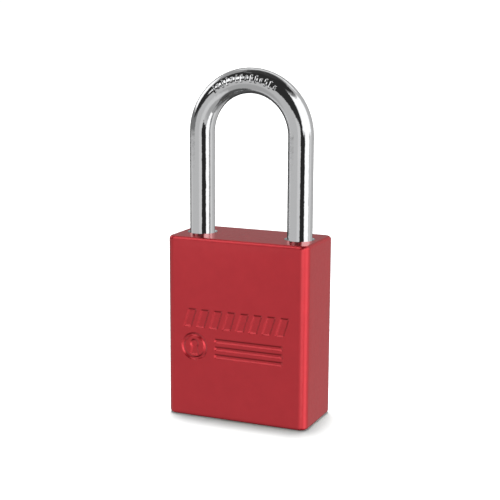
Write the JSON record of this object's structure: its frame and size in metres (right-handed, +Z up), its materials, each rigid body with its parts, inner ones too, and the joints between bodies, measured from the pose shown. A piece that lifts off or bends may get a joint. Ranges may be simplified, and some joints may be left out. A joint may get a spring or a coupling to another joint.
{
  "type": "keyed safety padlock",
  "caption": "Keyed lockout padlock with a tall red anodised aluminium body, round chrome shackle held by locking balls, and a pin tumbler cylinder in its base.",
  "frame": {"origin": "middle of the body's base, where the lock stands", "axes": "+X across the front from the heel leg to the toe leg of the shackle, +Y from the marked front to the back, +Z up along the shackle"},
  "size_m": [0.0382, 0.0186, 0.0889],
  "materials": {
    "body_anodised": "satin red anodised, finely bead blasted",
    "shackle_chrome": "bright chrome plate",
    "cylinder_brass": "machined",
    "plug_brass": "machined, faced",
    "cover_brass": "rolled strip",
    "key_pin_brass": "turned",
    "driver_pin_steel": "turned",
    "spring_steel": "drawn wire",
    "ball_steel": "ground and polished",
    "actuator_zinc": "die cast, as cast",
    "tailpiece_steel": "stamped",
    "clip_steel": "blackened spring steel",
    "screw_steel": "zinc plated"
  },
  "bodies": {
    "casing": {"padlock_body": "body_anodised", "cylinder_shell": "cylinder_brass", "spring_cover": "cover_brass", "cylinder_screw": "screw_steel", "shackle_spring": "spring_steel", "pin_spring_1": "spring_steel", "pin_spring_2": "spring_steel", "pin_spring_3": "spring_steel", "pin_spring_4": "spring_steel", "pin_spring_5": "spring_steel"},
    "plug": {"plug": "plug_brass", "tailpiece": "tailpiece_steel", "plug_clip": "clip_steel"},
    "actuator": {"actuator": "actuator_zinc"},
    "heel_ball": {"heel_ball": "ball_steel"},
    "toe_ball": {"toe_ball": "ball_steel"},
    "shackle": {"shackle": "shackle_chrome"},
    "key_pin_1": {"key_pin_1": "key_pin_brass"},
    "driver_pin_1": {"driver_pin_1": "driver_pin_steel"},
    "key_pin_2": {"key_pin_2": "key_pin_brass"},
    "driver_pin_2": {"driver_pin_2": "driver_pin_steel"},
    "key_pin_3": {"key_pin_3": "key_pin_brass"},
    "driver_pin_3": {"driver_pin_3": "driver_pin_steel"},
    "key_pin_4": {"key_pin_4": "key_pin_brass"},
    "driver_pin_4": {"driver_pin_4": "driver_pin_steel"},
    "key_pin_5": {"key_pin_5": "key_pin_brass"},
    "driver_pin_5": {"driver_pin_5": "driver_pin_steel"}
  },
  "joints": [
    {"name": "plug_turn", "type": "hinge", "parent": "casing", "child": "plug", "pos_m": [0, 0, 0.0143], "axis": [0, 0, 1], "range_deg": [0, 90]},
    {"name": "actuator_turn", "type": "hinge", "parent": "casing", "child": "actuator", "pos_m": [0, 0, 0.0364], "axis": [0, 0, 1], "range_deg": [0, 90]},
    {"name": "heel_ball_slide", "type": "slide", "parent": "casing", "child": "heel_ball", "axis": [1, 0, 0], "range_m": [0, 0.0009]},
    {"name": "toe_ball_slide", "type": "slide", "parent": "casing", "child": "toe_ball", "axis": [-1, 0, 0], "range_m": [0, 0.0036]},
    {"name": "shackle_lift", "type": "slide", "parent": "casing", "child": "shackle", "axis": [0, 0, 1], "range_m": [0, 0.0109], "deforming": ["shackle_spring"]},
    {"name": "key_pin_1_slide", "type": "slide", "parent": "plug", "child": "key_pin_1", "axis": [1, 0, 0], "range_m": [-0.00268, 0]},
    {"name": "driver_pin_1_slide", "type": "slide", "parent": "casing", "child": "driver_pin_1", "axis": [1, 0, 0], "range_m": [-0.00268, 0], "deforming": ["pin_spring_1"]},
    {"name": "key_pin_2_slide", "type": "slide", "parent": "plug", "child": "key_pin_2", "axis": [1, 0, 0], "range_m": [-0.00168, 0]},
    {"name": "driver_pin_2_slide", "type": "slide", "parent": "casing", "child": "driver_pin_2", "axis": [1, 0, 0], "range_m": [-0.00168, 0], "deforming": ["pin_spring_2"]},
    {"name": "key_pin_3_slide", "type": "slide", "parent": "plug", "child": "key_pin_3", "axis": [1, 0, 0], "range_m": [-0.00228, 0]},
    {"name": "driver_pin_3_slide", "type": "slide", "parent": "casing", "child": "driver_pin_3", "axis": [1, 0, 0], "range_m": [-0.00228, 0], "deforming": ["pin_spring_3"]},
    {"name": "key_pin_4_slide", "type": "slide", "parent": "plug", "child": "key_pin_4", "axis": [1, 0, 0], "range_m": [-0.00128, 0]},
    {"name": "driver_pin_4_slide", "type": "slide", "parent": "casing", "child": "driver_pin_4", "axis": [1, 0, 0], "range_m": [-0.00128, 0], "deforming": ["pin_spring_4"]},
    {"name": "key_pin_5_slide", "type": "slide", "parent": "plug", "child": "key_pin_5", "axis": [1, 0, 0], "range_m": [-0.00208, 0]},
    {"name": "driver_pin_5_slide", "type": "slide", "parent": "casing", "child": "driver_pin_5", "axis": [1, 0, 0], "range_m": [-0.00208, 0], "deforming": ["pin_spring_5"]}
  ],
  "couplings": [
    {"joint": "actuator_turn", "follows": "plug_turn", "ratio": 1},
    {"joint": "heel_ball_slide", "follows": "plug_turn", "m_per_rad": 0.00057295},
    {"joint": "toe_ball_slide", "follows": "plug_turn", "m_per_rad": 0.0022918},
    {"joint": "shackle_lift", "follows": "plug_turn", "m_per_rad": 0.0069391},
    {"joint": "driver_pin_1_slide", "follows": "key_pin_1_slide", "ratio": 1},
    {"joint": "driver_pin_2_slide", "follows": "key_pin_2_slide", "ratio": 1},
    {"joint": "driver_pin_3_slide", "follows": "key_pin_3_slide", "ratio": 1},
    {"joint": "driver_pin_4_slide", "follows": "key_pin_4_slide", "ratio": 1},
    {"joint": "driver_pin_5_slide", "follows": "key_pin_5_slide", "ratio": 1}
  ]
}
